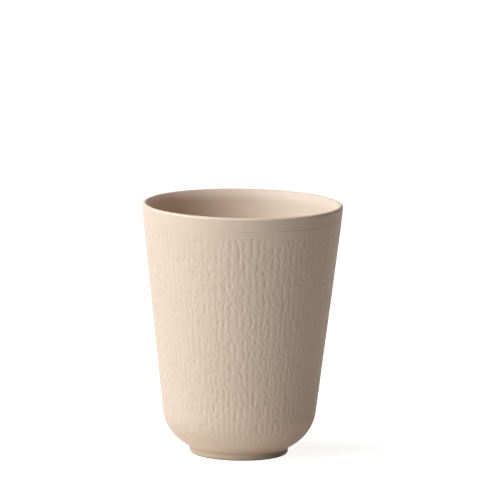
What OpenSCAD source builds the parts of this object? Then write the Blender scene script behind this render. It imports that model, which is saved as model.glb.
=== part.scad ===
// Double-wall plastic cup: a smooth liner hung by its collar on a tapered shell, closed by a snap-in foot.
// Millimetres, +Z up, origin at the middle of the face that the cup stands on.

/* [Cup] */
// Height of the cup
cup_height = 100; // [92:1:112]
// Diameter over the lip
lip_diameter = 79.5; // [76:0.5:90]
// Slope of the side, in degrees from the vertical
side_slope = 6.6; // [5:0.1:7.5]
// Radius of the heel, where the side bends into the underside
heel_radius = 17.3; // [12:0.1:19]
// Slope of the underside, in degrees from the vertical
underside_slope = 56; // [52:1:62]

/* [Lip and collar] */
// Height of the smooth collar
collar_height = 5.5; // [4.8:0.1:9]
// Slope of the collar's outside, in degrees from the vertical
collar_slope = 4.5; // [0:0.1:6]
// How far the collar stands out past the shell
collar_step = 0.03; // [0:0.01:0.4]
// Radius of the lip's edge
lip_radius = 1; // [0.9:0.05:1.5]
// Height of the flare inside the lip
flare_height = 4.2; // [3.4:0.1:5]
// Radius of the shell's edge at the joint line under the collar
joint_edge_radius = 0.1; // [0.05:0.05:0.4]
// Radius of the collar's edge at the joint line
collar_edge_radius = 0.05; // [0.05:0.05:0.6]

/* [Walls] */
// Wall of the shell
shell_wall = 1.4; // [1.3:0.05:1.5]
// Wall of the liner
liner_wall = 1.4; // [1.1:0.05:1.6]
// Air gap between the walls, at the joint line
wall_gap = 0.65; // [0.5:0.05:0.8]
// How much more than the side the liner slopes, in degrees
liner_extra_slope = 1.8; // [1:0.1:2.4]
// Radius of the liner's inside corner
liner_corner_radius = 12; // [8:0.5:15]
// Air gap under the liner, above the snap fingers
floor_gap = 1.75; // [1:0.05:4]

/* [Rim joint] */
// Thickness of the collar's skirt outside the shell's tongue
skirt_wall = 0.7; // [0.6:0.05:0.9]
// Height of the shell's tongue
tongue_height = 2.2; // [2:0.1:2.4]
// Clearance on each side of the tongue
tongue_clearance = 0.08; // [0.05:0.01:0.12]
// Radius of the snap bead on the tongue
bead_radius = 0.28; // [0.2:0.02:0.32]
// Height of the snap bead above the joint line
bead_height = 1.2; // [0.9:0.1:1.5]
// Height of the land that centres the collar in the shell, below the joint line
land_height = 2; // [1:0.1:3]

/* [Foot] */
// Diameter of the foot
foot_diameter = 39.2; // [37:0.1:44]
// Height of the foot
foot_height = 2.5; // [2:0.1:3.2]
// Radius of the foot's lower edge
foot_edge_radius = 1.2; // [0.4:0.1:1.4]
// Radius of the foot's upper edge, at the crevice
crevice_edge_radius = 0.1; // [0.05:0.05:0.4]
// Width of the ring that the cup stands on
foot_ring_width = 3.2; // [2.8:0.1:3.6]
// Depth of the recess under the foot
recess_depth = 1; // [0.6:0.1:1.2]
// Thickness of the foot's web
web_thickness = 1.6; // [1.4:0.1:2]

/* [Base joint] */
// Width of the seat where the shell stands on the foot
seat_width = 4.25; // [3.8:0.05:5]
// Clearance between the snap fingers and the opening
finger_clearance = 0.15; // [0.1:0.01:0.25]
// Thickness of the snap fingers
finger_wall = 1.5; // [1.2:0.1:1.8]
// How far the fingers hook over the shell
hook_reach = 0.5; // [0.35:0.05:0.6]
// Height of the hooks
hook_height = 1.2; // [0.8:0.1:1.5]
// Number of snap fingers
finger_count = 6; // [4:1:8]
// Width of the slots between the fingers
slot_width = 2.4; // [1.6:0.1:3]
// Width of the flat base seal
base_seal_width = 1.3; // [1:0.05:1.5]
// Height of the flat base seal
base_seal_height = 0.9; // [0.7:0.05:1.2]
// Clearance round the seals and under the hooks
seat_clearance = 0.05; // [0.02:0.01:0.1]

/* [Hidden] */
$fn = 180;

plastic = [0.9, 0.8, 0.71];
seal_rubber = [0.82, 0.8, 0.76];

// How far a bend's circle stands past its two tangent lines, so that they cross it cleanly
kiss = 0.002;
// How far a shape reaches into the one that it joins
tuck = 0.2;
// How far a cut reaches past the face that it opens
past = 1;

// Directions in the half section [radius, height]: up a sloping wall, and square out of it
function up_wall(slope) = [sin(slope), cos(slope)];
function out_of(slope) = [cos(slope), -sin(slope)];
// A point on a sloping wall at a given height
function on_wall(point, slope, height) =
    [point.x + (height - point.y) * tan(slope), height];
function unit(v) = v / norm(v);

joint_z = cup_height - collar_height;
lip_r = lip_diameter / 2;
lip_centre = [lip_r - lip_radius, cup_height - lip_radius];

// Collar, from its tangent point on the lip down to the joint line
collar_top = lip_centre + lip_radius * out_of(collar_slope);
collar_foot = on_wall(collar_top, collar_slope, joint_z);

// Shell, outside: side, heel and underside
shell_top = [collar_foot.x - collar_step, joint_z];
foot_r = foot_diameter / 2;
foot_corner = [foot_r, foot_height];
heel_corner_z = (foot_r - shell_top.x + joint_z * tan(side_slope) - foot_height * tan(underside_slope))
    / (tan(side_slope) - tan(underside_slope));
heel_corner = on_wall(shell_top, side_slope, heel_corner_z);
heel_run = heel_radius * tan((underside_slope - side_slope) / 2);
heel_centre = heel_corner + heel_run * up_wall(side_slope) - heel_radius * out_of(side_slope);

// Tongue on the shell and groove in the collar
tongue_in = shell_top.x - shell_wall / cos(side_slope);
tongue_out = collar_foot.x - skirt_wall - tongue_clearance;
tongue_top = joint_z + tongue_height;
groove_in = tongue_in - tongue_clearance;
groove_out = tongue_out + tongue_clearance;
rim_seal_diameter = groove_out - groove_in - 2 * seat_clearance;
groove_top = tongue_top + rim_seal_diameter + seat_clearance;
bead_centre = [tongue_in, joint_z + bead_height];

// Foot, fingers and base seal
opening_r = foot_r - seat_width;
finger_r = opening_r - finger_clearance;
finger_in = finger_r - finger_wall;
hook_z = foot_height + shell_wall + seat_clearance;
finger_top = hook_z + hook_height;
hook_nose = hook_height / 3;
foot_ring_in = foot_r - foot_ring_width;
foot_ring_edge = foot_edge_radius / 2;
web_top = recess_depth + web_thickness;
base_groove_width = base_seal_width + 2 * seat_clearance;
base_groove_depth = base_seal_height + seat_clearance;
base_groove_in = (opening_r + foot_r - base_groove_width) / 2;

// Liner, inside: wall, flare, corner and floor
liner_slope = side_slope + liner_extra_slope;
liner_joint = [tongue_in - wall_gap - liner_wall / cos(liner_slope), joint_z];
flare_foot = on_wall(liner_joint, liner_slope, cup_height - flare_height);
floor_z = finger_top + floor_gap + liner_wall;
corner_wall_z = floor_z + liner_corner_radius * (1 - sin(liner_slope));
corner_wall = on_wall(liner_joint, liner_slope, corner_wall_z);
corner_centre = corner_wall - liner_corner_radius * out_of(liner_slope);

// The flare is one arc that touches the wall and then the lip's edge, which covers its end
flare_touch = lip_radius - 2 * kiss;
flare_run = lip_centre - flare_foot;
flare_radius = (flare_run * flare_run - flare_touch * flare_touch)
    / (2 * (flare_run * out_of(liner_slope) - flare_touch));
flare_centre = flare_foot + flare_radius * out_of(liner_slope);
flare_top = lip_centre + flare_touch * unit(lip_centre - flare_centre);

// Adds the round part of a bend: the piece of a circle that bulges past the chord from one tangent point
// to the other. It runs a little way along the straight walls that it meets, and stops dead at an arc.
module bend(centre, radius, from, to, to_arc = false) {
    along = unit(to - from);
    side = [along.y, -along.x];
    out = (from - centre) * side > 0 ? side : -side;
    reach = 2 * sqrt(2 * radius * kiss);
    start = from - reach * along;
    end = to_arc ? to : to + reach * along;
    intersection() {
        translate(centre)
            circle(radius + kiss);
        polygon([start - tuck * out, end - tuck * out, end + radius * out, start + radius * out]);
    }
}

// Half section of the space inside the shell's outside surface, taken in by a depth
module shell_space(depth, top) {
    side_top = [shell_top.x - depth / cos(side_slope), joint_z];
    heel_top = heel_centre + (heel_radius - depth) * out_of(side_slope);
    heel_end = heel_centre + (heel_radius - depth) * out_of(underside_slope);
    seat_z = foot_height + depth;
    seat = on_wall(foot_corner - depth * out_of(underside_slope), underside_slope, seat_z);
    polygon([[0, seat_z], seat, heel_end, heel_top, side_top, [side_top.x, top], [0, top]]);
    bend(heel_centre, heel_radius - depth, heel_end, heel_top);
}

// Half section of the shell's rounded top edge, as the piece to keep under the joint line
module shell_edge_keep() {
    run = joint_edge_radius * tan((90 + side_slope) / 2);
    edge_side = shell_top - run * up_wall(side_slope);
    edge_top = shell_top - [run, 0];
    centre = edge_side - joint_edge_radius * out_of(side_slope);
    polygon([[0, 0], [lip_r, 0], [lip_r, edge_side.y], edge_side, edge_top, [edge_top.x, cup_height],
        [0, cup_height]]);
    bend(centre, joint_edge_radius, edge_side, edge_top);
}

// Half section of the space inside the liner, let out by a thickness
module liner_space(thickness) {
    radius = liner_corner_radius + thickness;
    floor_end = corner_centre - [0, radius];
    wall_start = corner_centre + radius * out_of(liner_slope);
    wall_top = flare_foot + [thickness / cos(liner_slope), 0];
    polygon([[0, floor_end.y], floor_end, wall_start, wall_top, [0, wall_top.y]]);
    bend(corner_centre, radius, floor_end, wall_start);
}

// Half section of the collar: lip, flare, outside and the land that centres it in the shell
module collar() {
    run = collar_edge_radius * tan((90 - collar_slope) / 2);
    edge_under = collar_foot - [run, 0];
    edge_side = collar_foot + run * up_wall(collar_slope);
    edge_centre = edge_under + [0, collar_edge_radius];
    middle_of_wall = flare_foot + [liner_wall / 2, 0];
    land_end = on_wall(middle_of_wall, liner_slope, joint_z - land_height);
    polygon([land_end, [groove_in, joint_z], edge_under, edge_side, collar_top, flare_top, flare_foot,
        middle_of_wall - [0, tuck]]);
    bend(edge_centre, collar_edge_radius, edge_under, edge_side);
    bend(flare_centre, flare_radius, flare_foot, flare_top, to_arc = true);
    translate(lip_centre)
        circle(lip_radius + kiss);
}

// Liner: the inner cup with its lip and collar, grooved for the shell's tongue
module inner_liner() {
    color(plastic)
    rotate_extrude() {
        difference() {
            liner_space(liner_wall);
            liner_space(0);
        }
        difference() {
            collar();
            translate([groove_in, joint_z - past])
                square([groove_out - groove_in, groove_top - joint_z + past]);
            translate(bead_centre)
                circle(bead_radius + seat_clearance);
        }
    }
}

// Shell: the tapered sleeve with its heel, a tongue on top and an opening below
module outer_shell() {
    color(plastic)
    rotate_extrude() {
        difference() {
            union() {
                intersection() {
                    shell_space(0, joint_z);
                    shell_edge_keep();
                }
                translate([0, joint_z - past])
                    square([tongue_out, tongue_height + past]);
            }
            shell_space(shell_wall, tongue_top + past);
            translate([0, foot_height - past])
                square([opening_r, shell_wall + 2 * past]);
        }
        translate(bead_centre)
            circle(bead_radius);
    }
}

// Half section of the foot: web, standing ring and snap fingers
module foot_section() {
    edge_under = [foot_r - foot_edge_radius, 0];
    edge_side = [foot_r, foot_edge_radius];
    crevice_side = [foot_r, foot_height - crevice_edge_radius];
    crevice_top = [foot_r - crevice_edge_radius, foot_height];
    polygon([
        [0, recess_depth],
        [foot_ring_in, recess_depth],
        [foot_ring_in, foot_ring_edge],
        [foot_ring_in + foot_ring_edge, 0],
        edge_under,
        edge_side,
        crevice_side,
        crevice_top,
        [finger_r, foot_height],
        [finger_r, hook_z],
        [finger_r + finger_clearance + hook_reach, hook_z],
        [finger_r + finger_clearance + hook_reach, hook_z + hook_nose],
        [finger_r, finger_top],
        [finger_in, finger_top],
        [finger_in, web_top],
        [0, web_top],
    ]);
    bend([edge_under.x, edge_side.y], foot_edge_radius, edge_under, edge_side);
    bend([crevice_top.x, crevice_side.y], crevice_edge_radius, crevice_side, crevice_top);
}

// Foot: closes the shell's opening and carries the cup
module base_cap() {
    color(plastic)
    difference() {
        rotate_extrude()
            difference() {
                foot_section();
                translate([base_groove_in, foot_height - base_groove_depth])
                    square([base_groove_width, base_groove_depth + past]);
            }
        for (i = [0 : finger_count - 1])
            rotate(i * 360 / finger_count)
                translate([finger_in - past, -slot_width / 2, max(web_top, foot_height)])
                    cube([finger_wall + hook_reach + finger_clearance + 2 * past, slot_width,
                        finger_top]);
    }
}

// Round seal between the tongue's top and the groove's roof
module rim_seal() {
    color(seal_rubber)
    rotate_extrude()
        translate([(tongue_in + tongue_out) / 2, tongue_top + (rim_seal_diameter + seat_clearance) / 2])
            circle(d = rim_seal_diameter);
}

// Flat seal in the foot's groove, under the shell
module base_seal() {
    color(seal_rubber)
    rotate_extrude()
        translate([base_groove_in + seat_clearance, foot_height - base_seal_height])
            square([base_seal_width, base_seal_height]);
}

inner_liner();
outer_shell();
base_cap();
rim_seal();
base_seal();
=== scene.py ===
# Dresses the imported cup: a bark relief on its shell, matte plastic all over, soft light from the left.
import math

import bpy
import numpy as np
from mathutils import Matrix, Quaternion, Vector


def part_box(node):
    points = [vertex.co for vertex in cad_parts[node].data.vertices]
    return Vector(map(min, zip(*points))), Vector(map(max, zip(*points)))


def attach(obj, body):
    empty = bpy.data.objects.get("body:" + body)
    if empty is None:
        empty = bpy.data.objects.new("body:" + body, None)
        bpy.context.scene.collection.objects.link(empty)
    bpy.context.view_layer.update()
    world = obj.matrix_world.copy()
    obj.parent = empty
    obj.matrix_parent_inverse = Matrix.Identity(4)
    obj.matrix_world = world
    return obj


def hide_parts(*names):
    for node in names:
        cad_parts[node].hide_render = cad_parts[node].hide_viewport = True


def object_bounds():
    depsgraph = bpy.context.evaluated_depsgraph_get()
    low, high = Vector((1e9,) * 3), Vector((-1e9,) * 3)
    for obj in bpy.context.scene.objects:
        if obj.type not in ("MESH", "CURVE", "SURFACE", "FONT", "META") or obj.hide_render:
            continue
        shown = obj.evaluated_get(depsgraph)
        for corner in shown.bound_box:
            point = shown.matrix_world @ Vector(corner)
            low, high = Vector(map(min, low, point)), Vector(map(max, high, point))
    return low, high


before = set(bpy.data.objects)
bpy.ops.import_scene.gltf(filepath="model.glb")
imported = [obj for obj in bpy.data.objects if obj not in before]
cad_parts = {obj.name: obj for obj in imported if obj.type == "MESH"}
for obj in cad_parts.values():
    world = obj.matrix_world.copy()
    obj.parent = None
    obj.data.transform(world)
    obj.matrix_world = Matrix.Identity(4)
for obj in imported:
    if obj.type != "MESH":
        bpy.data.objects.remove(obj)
cad_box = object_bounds()

MM = 0.001

# The cup's sizes, in metres, from the frame
cup_height = cad_box[1][2]
lip_r = cad_box[1][0]
foot_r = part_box("base_cap")[1].x
seat_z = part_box("outer_shell")[0].z
tongue_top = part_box("outer_shell")[1].z

# The shell's own sizes and slopes, as the frame's shell has them
SIDE_SLOPE = math.radians(6.6)
UNDERSIDE_SLOPE = math.radians(56)
HEEL_RADIUS = 17.3 * MM
COLLAR_HEIGHT = 5.5 * MM
COLLAR_SLOPE = math.radians(4.5)
COLLAR_STEP = 0.03 * MM
LIP_RADIUS = 1 * MM
JOINT_EDGE_RADIUS = 0.1 * MM
SHELL_WALL = 1.4 * MM
SKIRT_WALL = 0.7 * MM
TONGUE_CLEARANCE = 0.08 * MM
SEAT_WIDTH = 4.25 * MM

# How finely the shell's mesh follows its curves
AROUND = 640
ROWS = 138
TOP_EDGE_POINTS = 5
HEEL_POINTS = 60
INNER_HEEL_POINTS = 6
SHARP_ANGLE = math.radians(40)

# The relief: lanes of short near-vertical grooves with breaks and forks, scattered pits and slow streaks
BARK_SEED = 41
LANES = 86
LANE_JITTER = 0.3 * MM
GROOVE_LENGTH = (2 * MM, 7.4 * MM)
GROOVE_BREAK = (-0.8 * MM, 1.6 * MM)
GROOVE_WIDTH = (0.42 * MM, 0.68 * MM)
GROOVE_DEPTH = (0.077 * MM, 0.18 * MM)
GROOVE_LEAN = 0.05
FORK_SHARE = 0.12
FORK_LEAN = (0.15, 0.4)
PITS = 560
PIT_LENGTH = (1.4 * MM, 2 * MM)
PIT_WIDTH = (0.36 * MM, 0.54 * MM)
PIT_DEPTH = (0.18 * MM, 0.32 * MM)
PIT_LEAN = 0.2
STREAK_WIDTH = 2.4 * MM
STREAK_LENGTH = 9 * MM
STREAK_DEPTH = 0.014 * MM
MARGIN_UNDER_COLLAR = (1.2 * MM, 3.6 * MM)
MARGIN_OVER_FOOT = (2.5 * MM, 7 * MM)
HEEL_FADE = (1 * MM, 17 * MM)
STROKE_TAPER = 0.5
STROKE_REACH = 2.5
LUMP_BAND = 0.27

# The photograph's frame and the cup's place in it, in pixels of the 480 x 480 image
PHOTO_SIZE = 480
CUP_CENTRE_PX = Vector((240.6, 327.8))
PIXELS_PER_METRE = 2525
CAMERA_DISTANCE = 2.4
CAMERA_ELEVATION = math.radians(9.914)
CAMERA_ROLL = math.radians(0.92)
SENSOR_WIDTH = 36
CLIP_END = 20

# Colours, linear
BEIGE = (0.78, 0.61, 0.465)
SEAL_GREY = (0.62, 0.60, 0.55)
FLOOR_WHITE = (0.75, 0.68, 0.61)

# Soft boxes: name, azimuth and elevation in degrees, width and height in metres, watts, tint
LAMP_DISTANCE = 1.4
LAMPS = [
    ("key", -60, 38, 0.8, 1.1, 10.2, (1.0, 0.98, 0.97)),
    ("side", -92, 48, 0.9, 0.7, 13.2, (0.65, 0.84, 1.0)),
    ("low", -42, 14, 0.8, 0.5, 5.4, (0.71, 0.9, 1.0)),
    ("top", -60, 75, 0.7, 0.7, 3.5, (1.0, 0.65, 0.65)),
]

# Floor: its width, its glow at the cup, and the distances between which the glow rises to white
FLOOR_SIZE = 8
FLOOR_GLOW = 0.9
FLOOR_GLOW_REACH = (0.25, 0.9)

# Plastic: its gloss, slow mottling, fine flecks and fine grain
PLASTIC_SHINE = 0.4
FOOT_SHINE = 0.1
PLASTIC_IOR = 1.49
PLASTIC_ROUGHNESS = (0.5, 0.62)
MOTTLE_SIZE = 14 * MM
MOTTLE_SHADES = (0.965, 1.035)
FLECK_SIZE = 0.6 * MM
FLECK_EDGE = (0.62, 0.75)
FLECK_TINT = 0.12
FLECK_SHADE = 0.75
GRAIN_SIZE = 0.3 * MM
GRAIN_DEPTH = 0.006 * MM

# Bark: painted shade that darkens its grooves, and its small pores
PAINTED_SHADE_DEPTHS = (0.1, 1)
PAINTED_SHADE_SHARE = 0.1
PAINTED_SHADE_LEVEL = 0.5
PORE_SPACING = 2 * MM
PORE_STRETCH = 1.6
PORE_EDGE = (0.12, 0.36)
PORE_DEPTH = 0.12 * MM

# Seal rubber and its faint bloom
RUBBER_ROUGHNESS = 0.75
BLOOM_SIZE = 2.5 * MM
BLOOM_SHADES = (0.9, 1.1)
BLOOM_STRENGTH = 0.1
BLOOM_DEPTH = 0.05 * MM


# Shell outline

def up_wall(slope):
    return np.array([math.sin(slope), math.cos(slope)])


def out_of(slope):
    return np.array([math.cos(slope), -math.sin(slope)])


def arc(centre, radius, start, end, count):
    """Points on an arc in the half section, between two outward slopes."""
    return [centre + radius * out_of(a) for a in np.linspace(start, end, count)]


def shell_section():
    """The shell's half section as (radius, height) points: its rounded top edge, the outside wall down
    to the foot, and the hidden faces from there back to the top edge."""
    joint_z = cup_height - COLLAR_HEIGHT
    lip_centre = np.array([lip_r - LIP_RADIUS, cup_height - LIP_RADIUS])
    collar_top = lip_centre + LIP_RADIUS * out_of(COLLAR_SLOPE)
    collar_foot_r = collar_top[0] + (joint_z - collar_top[1]) * math.tan(COLLAR_SLOPE)
    top = np.array([collar_foot_r - COLLAR_STEP, joint_z])
    foot = np.array([foot_r, seat_z])

    side, under = math.tan(SIDE_SLOPE), math.tan(UNDERSIDE_SLOPE)
    corner_z = (foot[0] - top[0] + top[1] * side - foot[1] * under) / (side - under)
    corner = np.array([top[0] + (corner_z - top[1]) * side, corner_z])
    run = HEEL_RADIUS * math.tan((UNDERSIDE_SLOPE - SIDE_SLOPE) / 2)
    heel = corner + run * up_wall(SIDE_SLOPE) - HEEL_RADIUS * out_of(SIDE_SLOPE)

    edge_run = JOINT_EDGE_RADIUS * math.tan((math.pi / 2 + SIDE_SLOPE) / 2)
    edge = top - edge_run * up_wall(SIDE_SLOPE) - JOINT_EDGE_RADIUS * out_of(SIDE_SLOPE)
    top_edge = arc(edge, JOINT_EDGE_RADIUS, -math.pi / 2, SIDE_SLOPE, TOP_EDGE_POINTS)
    wall = [top_edge.pop(), *arc(heel, HEEL_RADIUS, SIDE_SLOPE, UNDERSIDE_SLOPE, HEEL_POINTS), foot]

    inner_heel = arc(heel, HEEL_RADIUS - SHELL_WALL, UNDERSIDE_SLOPE, SIDE_SLOPE, INNER_HEEL_POINTS)
    seat_top = seat_z + SHELL_WALL
    seat_r = inner_heel[0][0] + (seat_top - inner_heel[0][1]) * under
    opening_r = foot_r - SEAT_WIDTH
    tongue_in = top[0] - SHELL_WALL / math.cos(SIDE_SLOPE)
    tongue_out = collar_foot_r - SKIRT_WALL - TONGUE_CLEARANCE
    seat = [(opening_r, seat_z), (opening_r, seat_top), (seat_r, seat_top)]
    tongue = [(tongue_in, joint_z), (tongue_in, tongue_top),
              (tongue_out, tongue_top), (tongue_out, joint_z)]
    hidden = [*seat, *inner_heel, *tongue]
    return np.array(top_edge), np.array(wall), np.array(hidden)


def resample(points, count):
    """The same outline with evenly spaced points, and the distance along it to each."""
    steps = np.linalg.norm(np.diff(points, axis=0), axis=1)
    along = np.concatenate([[0], np.cumsum(steps)])
    at = np.linspace(0, along[-1], count)
    return np.column_stack([np.interp(at, along, points[:, k]) for k in (0, 1)]), at


# Bark relief

def smooth_step(low, high, x):
    t = np.clip((x - low) / (high - low), 0, 1)
    return t * t * (3 - 2 * t)


def lumps(rng, spacing, width, length):
    """Noise on the shell's grid, seamless round the cup, in lumps of about the given width and length."""
    white = np.fft.fft2(rng.standard_normal((ROWS, AROUND)))
    up = np.fft.fftfreq(ROWS, spacing[0])[:, None]
    round_cup = np.fft.fftfreq(AROUND, spacing[1])[None, :]
    shape = np.exp(-(round_cup * width / LUMP_BAND) ** 2 - (up * length / LUMP_BAND) ** 2)
    field = np.real(np.fft.ifft2(white * shape))
    return (field - field.mean()) / field.std()


def carve(relief, along, ring_r, stroke):
    """Cuts one stroke into the relief: a round groove that leans a little and tapers to its ends."""
    angle, down, length, width, depth, lean = stroke
    rows = np.nonzero(np.abs(along - down) < length / 2)[0]
    if not len(rows):
        return
    below = (along[rows] - down)[:, None]
    column_step = 2 * math.pi * ring_r[rows][:, None] / AROUND
    reach = int((STROKE_REACH * width + abs(lean) * length / 2) / column_step.min()) + 2
    middle = angle / (2 * math.pi) * AROUND
    columns = np.arange(round(middle) - reach, round(middle) + reach + 1)
    across = (columns - middle)[None, :] * column_step - lean * below
    taper = smooth_step(0, STROKE_TAPER, 1 - np.abs(below) / (length / 2))
    cut = -depth * taper * np.exp(-(across / width) ** 2)
    spot = np.ix_(rows, columns % AROUND)
    relief[spot] = np.minimum(relief[spot], cut)


def groove_strokes(rng, length_down, radius_at):
    """Strokes that run down lanes round the cup, with breaks between them. Some lean to the next lane."""
    for lane in range(LANES):
        down = rng.uniform(*MARGIN_UNDER_COLLAR)
        stop = length_down - rng.uniform(*MARGIN_OVER_FOOT)
        while down < stop:
            length = min(rng.uniform(*GROOVE_LENGTH), stop - down)
            middle = down + length / 2
            angle = 2 * math.pi * lane / LANES + rng.normal(0, LANE_JITTER) / radius_at(middle)
            lean = rng.normal(0, GROOVE_LEAN)
            if rng.random() < FORK_SHARE:
                lean = rng.choice((-1, 1)) * rng.uniform(*FORK_LEAN)
            yield angle, middle, length, rng.uniform(*GROOVE_WIDTH), rng.uniform(*GROOVE_DEPTH), lean
            down += length + rng.uniform(*GROOVE_BREAK)


def pit_strokes(rng, length_down):
    """Short deep strokes, scattered over the wall."""
    for _ in range(PITS):
        angle = rng.uniform(0, 2 * math.pi)
        down = rng.uniform(MARGIN_UNDER_COLLAR[1], length_down - MARGIN_OVER_FOOT[1])
        lean = rng.normal(0, PIT_LEAN)
        length = rng.uniform(*PIT_LENGTH)
        yield angle, down, length, rng.uniform(*PIT_WIDTH), rng.uniform(*PIT_DEPTH), lean


def bark_relief(along, ring_r):
    """How far each point of the wall moves out, in metres, and how much bark covers it."""
    rng = np.random.default_rng(BARK_SEED)

    def radius_at(down):
        return float(np.interp(down, along, ring_r))

    grooves = np.zeros((ROWS, AROUND))
    for stroke in (*groove_strokes(rng, along[-1], radius_at), *pit_strokes(rng, along[-1])):
        carve(grooves, along, ring_r, stroke)
    spacing = (along[1] - along[0], 2 * math.pi * ring_r.mean() / AROUND)
    streaks = STREAK_DEPTH * lumps(rng, spacing, STREAK_WIDTH, STREAK_LENGTH)
    heel = smooth_step(*HEEL_FADE, along[-1] - along)[:, None] * np.ones(AROUND)
    cover = heel * smooth_step(*MARGIN_UNDER_COLLAR, along)[:, None]
    return heel * grooves + cover * (streaks - grooves.mean()), cover


def revolve(name, radius, height):
    """A closed mesh from rings of points: radius and height have one row per ring."""
    turn = np.linspace(0, 2 * math.pi, AROUND, endpoint=False)
    points = np.stack([radius * np.cos(turn), radius * np.sin(turn), height + 0 * turn], axis=-1)
    rings = len(radius)
    ring = np.arange(rings)[:, None]
    step = np.arange(AROUND)[None, :]
    here, above = ring * AROUND, (ring + 1) % rings * AROUND
    after = (step + 1) % AROUND
    quads = np.stack([here + step, above + step, above + after, here + after], axis=-1).reshape(-1, 4)
    mesh = bpy.data.meshes.new(name)
    mesh.from_pydata(points.reshape(-1, 3).tolist(), [], quads.tolist())
    mesh.shade_smooth()
    mesh.set_sharp_from_angle(angle=SHARP_ANGLE)
    piece = bpy.data.objects.new(name, mesh)
    bpy.context.scene.collection.objects.link(piece)
    return piece


def write_attribute(piece, name, first, values):
    """Gives a piece a value for each vertex from the first on, and 0 for the others."""
    every = np.zeros(len(piece.data.vertices), np.float32)
    every[first:first + values.size] = values.ravel()
    piece.data.attributes.new(name, "FLOAT", "POINT").data.foreach_set("value", every)


def bark_shell():
    """The outer shell with its bark relief, as one closed mesh."""
    top_edge, wall, hidden = shell_section()
    wall, along = resample(wall, ROWS)
    relief, cover = bark_relief(along, wall[:, 0])
    tangent = np.gradient(wall, axis=0)
    tangent /= np.linalg.norm(tangent, axis=1)[:, None]
    normal = np.column_stack([-tangent[:, 1], tangent[:, 0]])
    rings = [[points[:, k:k + 1] * np.ones(AROUND) for points in (top_edge, wall, hidden)] for k in (0, 1)]
    for k in (0, 1):
        rings[k][1] += normal[:, k:k + 1] * relief
    piece = revolve("bark_shell", np.vstack(rings[0]), np.vstack(rings[1]))
    first = len(top_edge) * AROUND
    # bark_depth sets how much painted shade each groove and pit gets
    write_attribute(piece, "bark_depth", first, -relief / GROOVE_DEPTH[1])
    write_attribute(piece, "bark_cover", first, cover)
    return piece


# Materials

def socket(sockets, key):
    """The socket in use with this name, or the one with this number."""
    if isinstance(key, int):
        return sockets[key]
    return next(s for s in sockets if s.name == key and s.enabled)


def add(tree, kind, inputs=None, **settings):
    """Adds a node, with its sockets linked or set."""
    made = tree.nodes.new(kind)
    for key, value in settings.items():
        setattr(made, key, value)
    for key, value in (inputs or {}).items():
        if isinstance(value, bpy.types.NodeSocket):
            tree.links.new(value, socket(made.inputs, key))
        else:
            socket(made.inputs, key).default_value = value
    return made


def out(made, key="Result"):
    return socket(made.outputs, key)


def new_material(name):
    material = bpy.data.materials.new(name)
    material.use_nodes = True
    material.node_tree.nodes.clear()
    return material, material.node_tree


def shaded(colour, by):
    return tuple(c * by for c in colour) + (1,)


def shades(colour, low_high):
    """A darker and a lighter shade of a colour."""
    return [shaded(colour, by) for by in low_high]


def mixed(tree, factor, low, high):
    """A colour between two, by a factor that varies over the surface."""
    return out(add(tree, "ShaderNodeMix", {"Factor": factor, "A": low, "B": high}, data_type="RGBA"))


def ramp(tree, value, start, end, low, high):
    """A value from start to end, stretched to run from low to high."""
    return out(add(tree, "ShaderNodeMapRange", {"Value": value, "From Min": start, "From Max": end,
                                                "To Min": low, "To Max": high}))


def cells(tree, size, stretch=1):
    """The object's own coordinates in units of a size in metres, stretched upwards."""
    place = out(add(tree, "ShaderNodeTexCoord"), "Object")
    share = (1 / size, 1 / size, 1 / (size * stretch))
    return out(add(tree, "ShaderNodeVectorMath", {0: place, 1: share}, operation="MULTIPLY"), "Vector")


def noise(tree, size, detail):
    """Noise in lumps of about the given size in metres."""
    place = cells(tree, size)
    return out(add(tree, "ShaderNodeTexNoise", {"Vector": place, "Scale": 1, "Detail": detail}), "Fac")


def maths(tree, operation, first, second):
    return add(tree, "ShaderNodeMath", {0: first, 1: second}, operation=operation).outputs[0]


def attribute(tree, name):
    return out(add(tree, "ShaderNodeAttribute", attribute_name=name), "Fac")


def bark_pores(tree):
    """Height of the small pores, in metres below the wall, where bark covers it."""
    place = cells(tree, PORE_SPACING, PORE_STRETCH)
    spots = add(tree, "ShaderNodeTexVoronoi", {"Vector": place, "Scale": 1})
    pores = ramp(tree, out(spots, "Distance"), *PORE_EDGE, -PORE_DEPTH, 0)
    return maths(tree, "MULTIPLY", pores, attribute(tree, "bark_cover"))


def matte_plastic(name, colour, shine=PLASTIC_SHINE, bark=False):
    """Moulded matte plastic: slow mottling, fine flecks, a fine grain, and painted shade in the bark's
    grooves.
    """
    material, tree = new_material(name)
    mottle = noise(tree, MOTTLE_SIZE, detail=3)
    tint = mixed(tree, mottle, *shades(colour, MOTTLE_SHADES))
    flecks = ramp(tree, noise(tree, FLECK_SIZE, detail=2), *FLECK_EDGE, 0, FLECK_TINT)
    tint = mixed(tree, flecks, tint, shaded(colour, FLECK_SHADE))
    height = ramp(tree, noise(tree, GRAIN_SIZE, detail=3), 0, 1, 0, GRAIN_DEPTH)
    if bark:
        # Painted shade: the deeper a groove or pit, the darker its colour
        grooves = ramp(tree, attribute(tree, "bark_depth"), *PAINTED_SHADE_DEPTHS, 0, PAINTED_SHADE_SHARE)
        tint = mixed(tree, grooves, tint, shaded(colour, PAINTED_SHADE_LEVEL))
        height = maths(tree, "ADD", height, bark_pores(tree))
    bump = add(tree, "ShaderNodeBump", {"Height": height, "Strength": 1, "Distance": 1})
    roughness = ramp(tree, mottle, 0, 1, *PLASTIC_ROUGHNESS)
    shader = add(tree, "ShaderNodeBsdfPrincipled", {"Base Color": tint, "Normal": out(bump, "Normal"),
                                                    "Roughness": roughness, "IOR": PLASTIC_IOR,
                                                    "Specular IOR Level": shine})
    add(tree, "ShaderNodeOutputMaterial", {"Surface": out(shader, "BSDF")})
    return material


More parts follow.
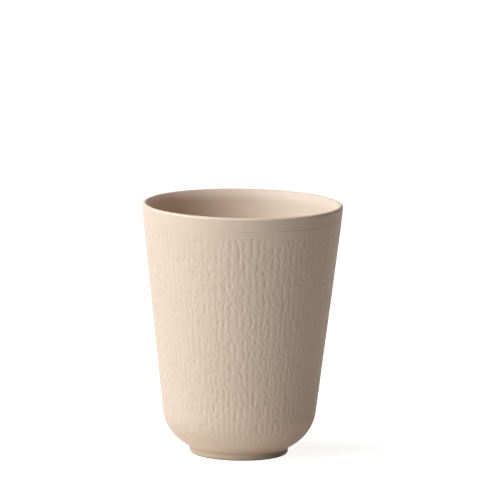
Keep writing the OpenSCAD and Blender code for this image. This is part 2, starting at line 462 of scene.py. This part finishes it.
def silicone(name, colour):
    """Soft matt rubber with a faint bloom."""
    material, tree = new_material(name)
    bloom = noise(tree, BLOOM_SIZE, detail=4)
    tint = mixed(tree, bloom, *shades(colour, BLOOM_SHADES))
    bump = add(tree, "ShaderNodeBump", {"Height": bloom, "Strength": BLOOM_STRENGTH,
                                        "Distance": BLOOM_DEPTH})
    shader = add(tree, "ShaderNodeBsdfPrincipled", {"Base Color": tint, "Roughness": RUBBER_ROUGHNESS,
                                                    "Normal": out(bump, "Normal")})
    add(tree, "ShaderNodeOutputMaterial", {"Surface": out(shader, "BSDF")})
    return material


def dress(piece, material):
    piece.data.materials.clear()
    piece.data.materials.append(material)


# Stage

def seen_rays(tree):
    """1 for what the camera sees directly, in a reflection or through glass."""
    path = add(tree, "ShaderNodeLightPath").outputs
    direct = maths(tree, "MAXIMUM", path["Is Camera Ray"], path["Is Glossy Ray"])
    return maths(tree, "MAXIMUM", direct, path["Is Transmission Ray"])


def white_floor():
    """White to the camera, with the cup's shadow. Far from the cup, its glow makes up for the lamps."""
    bpy.ops.mesh.primitive_plane_add(size=FLOOR_SIZE)
    floor = bpy.context.object
    floor.name = "floor"
    material, tree = new_material("floor_white")
    lit = add(tree, "ShaderNodeBsdfDiffuse", {"Color": FLOOR_WHITE + (1,)})
    place = out(add(tree, "ShaderNodeTexCoord"), "Object")
    away = out(add(tree, "ShaderNodeVectorMath", {0: place}, operation="LENGTH"), "Value")
    strength = ramp(tree, away, *FLOOR_GLOW_REACH, FLOOR_GLOW, 1)
    glow = add(tree, "ShaderNodeEmission", {"Strength": strength})
    white = add(tree, "ShaderNodeAddShader", {0: lit.outputs[0], 1: glow.outputs[0]})
    seen = seen_rays(tree)
    surface = add(tree, "ShaderNodeMixShader", {0: seen, 1: lit.outputs[0], 2: white.outputs[0]})
    add(tree, "ShaderNodeOutputMaterial", {"Surface": surface.outputs[0]})
    dress(floor, material)


def white_world():
    """White to the camera and in reflections, with no light of its own."""
    world = bpy.data.worlds.new("studio")
    bpy.context.scene.world = world
    world.use_nodes = True
    tree = world.node_tree
    tree.nodes.clear()
    white = add(tree, "ShaderNodeBackground", {"Color": (1, 1, 1, 1), "Strength": seen_rays(tree)})
    add(tree, "ShaderNodeOutputWorld", {"Surface": out(white, "Background")})


def soft_box(name, azimuth, elevation, width, height, power, tint):
    """A rectangular lamp that faces the middle of the cup."""
    lamp = bpy.data.lights.new(name, "AREA")
    lamp.shape = "RECTANGLE"
    lamp.size, lamp.size_y = width, height
    lamp.energy = power
    lamp.color = tint
    holder = bpy.data.objects.new(name, lamp)
    turn, rise = math.radians(azimuth), math.radians(elevation)
    away = Vector((math.cos(rise) * math.sin(turn), -math.cos(rise) * math.cos(turn), math.sin(rise)))
    holder.location = Vector((0, 0, cup_height / 2)) + LAMP_DISTANCE * away
    holder.rotation_euler = away.to_track_quat("Z", "Y").to_euler()
    bpy.context.scene.collection.objects.link(holder)


def photo_camera():
    """The photograph's camera: it looks over the cup, which stands low in the frame and leans a little."""
    offset = (Vector((PHOTO_SIZE / 2, PHOTO_SIZE / 2)) - CUP_CENTRE_PX) / PIXELS_PER_METRE
    roll_cos, roll_sin = math.cos(CAMERA_ROLL), math.sin(CAMERA_ROLL)
    right = offset.x * roll_cos + offset.y * roll_sin
    down = offset.y * roll_cos - offset.x * roll_sin
    middle = Vector((0, 0, cup_height / 2))
    back = Vector((0, -math.cos(CAMERA_ELEVATION), math.sin(CAMERA_ELEVATION)))
    image_up = Vector((0, math.sin(CAMERA_ELEVATION), math.cos(CAMERA_ELEVATION)))
    aim = middle + Vector((right, 0, 0)) - down * image_up

    camera = bpy.data.cameras.new("camera")
    camera.sensor_width = SENSOR_WIDTH
    camera.lens = SENSOR_WIDTH * CAMERA_DISTANCE * PIXELS_PER_METRE / PHOTO_SIZE
    camera.clip_end = CLIP_END
    holder = bpy.data.objects.new("camera", camera)
    holder.location = middle + CAMERA_DISTANCE * back
    look = (aim - holder.location).to_track_quat("-Z", "Y")
    holder.rotation_euler = (look @ Quaternion((0, 0, 1), CAMERA_ROLL)).to_euler()
    bpy.context.scene.collection.objects.link(holder)
    bpy.context.scene.camera = holder


# The object

photo_camera()

shell = bark_shell()
dress(shell, matte_plastic("bark_plastic", BEIGE, bark=True))
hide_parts("outer_shell")
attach(shell, "root")

dress(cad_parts["inner_liner"], matte_plastic("smooth_plastic", BEIGE))
dress(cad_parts["base_cap"], matte_plastic("foot_plastic", BEIGE, shine=FOOT_SHINE))
seal_rubber = silicone("seal_rubber", SEAL_GREY)
for name in ("rim_seal", "base_seal"):
    dress(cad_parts[name], seal_rubber)

# The light

white_floor()
white_world()
for lamp in LAMPS:
    soft_box(*lamp)
bpy.context.scene.view_settings.view_transform = "Standard"
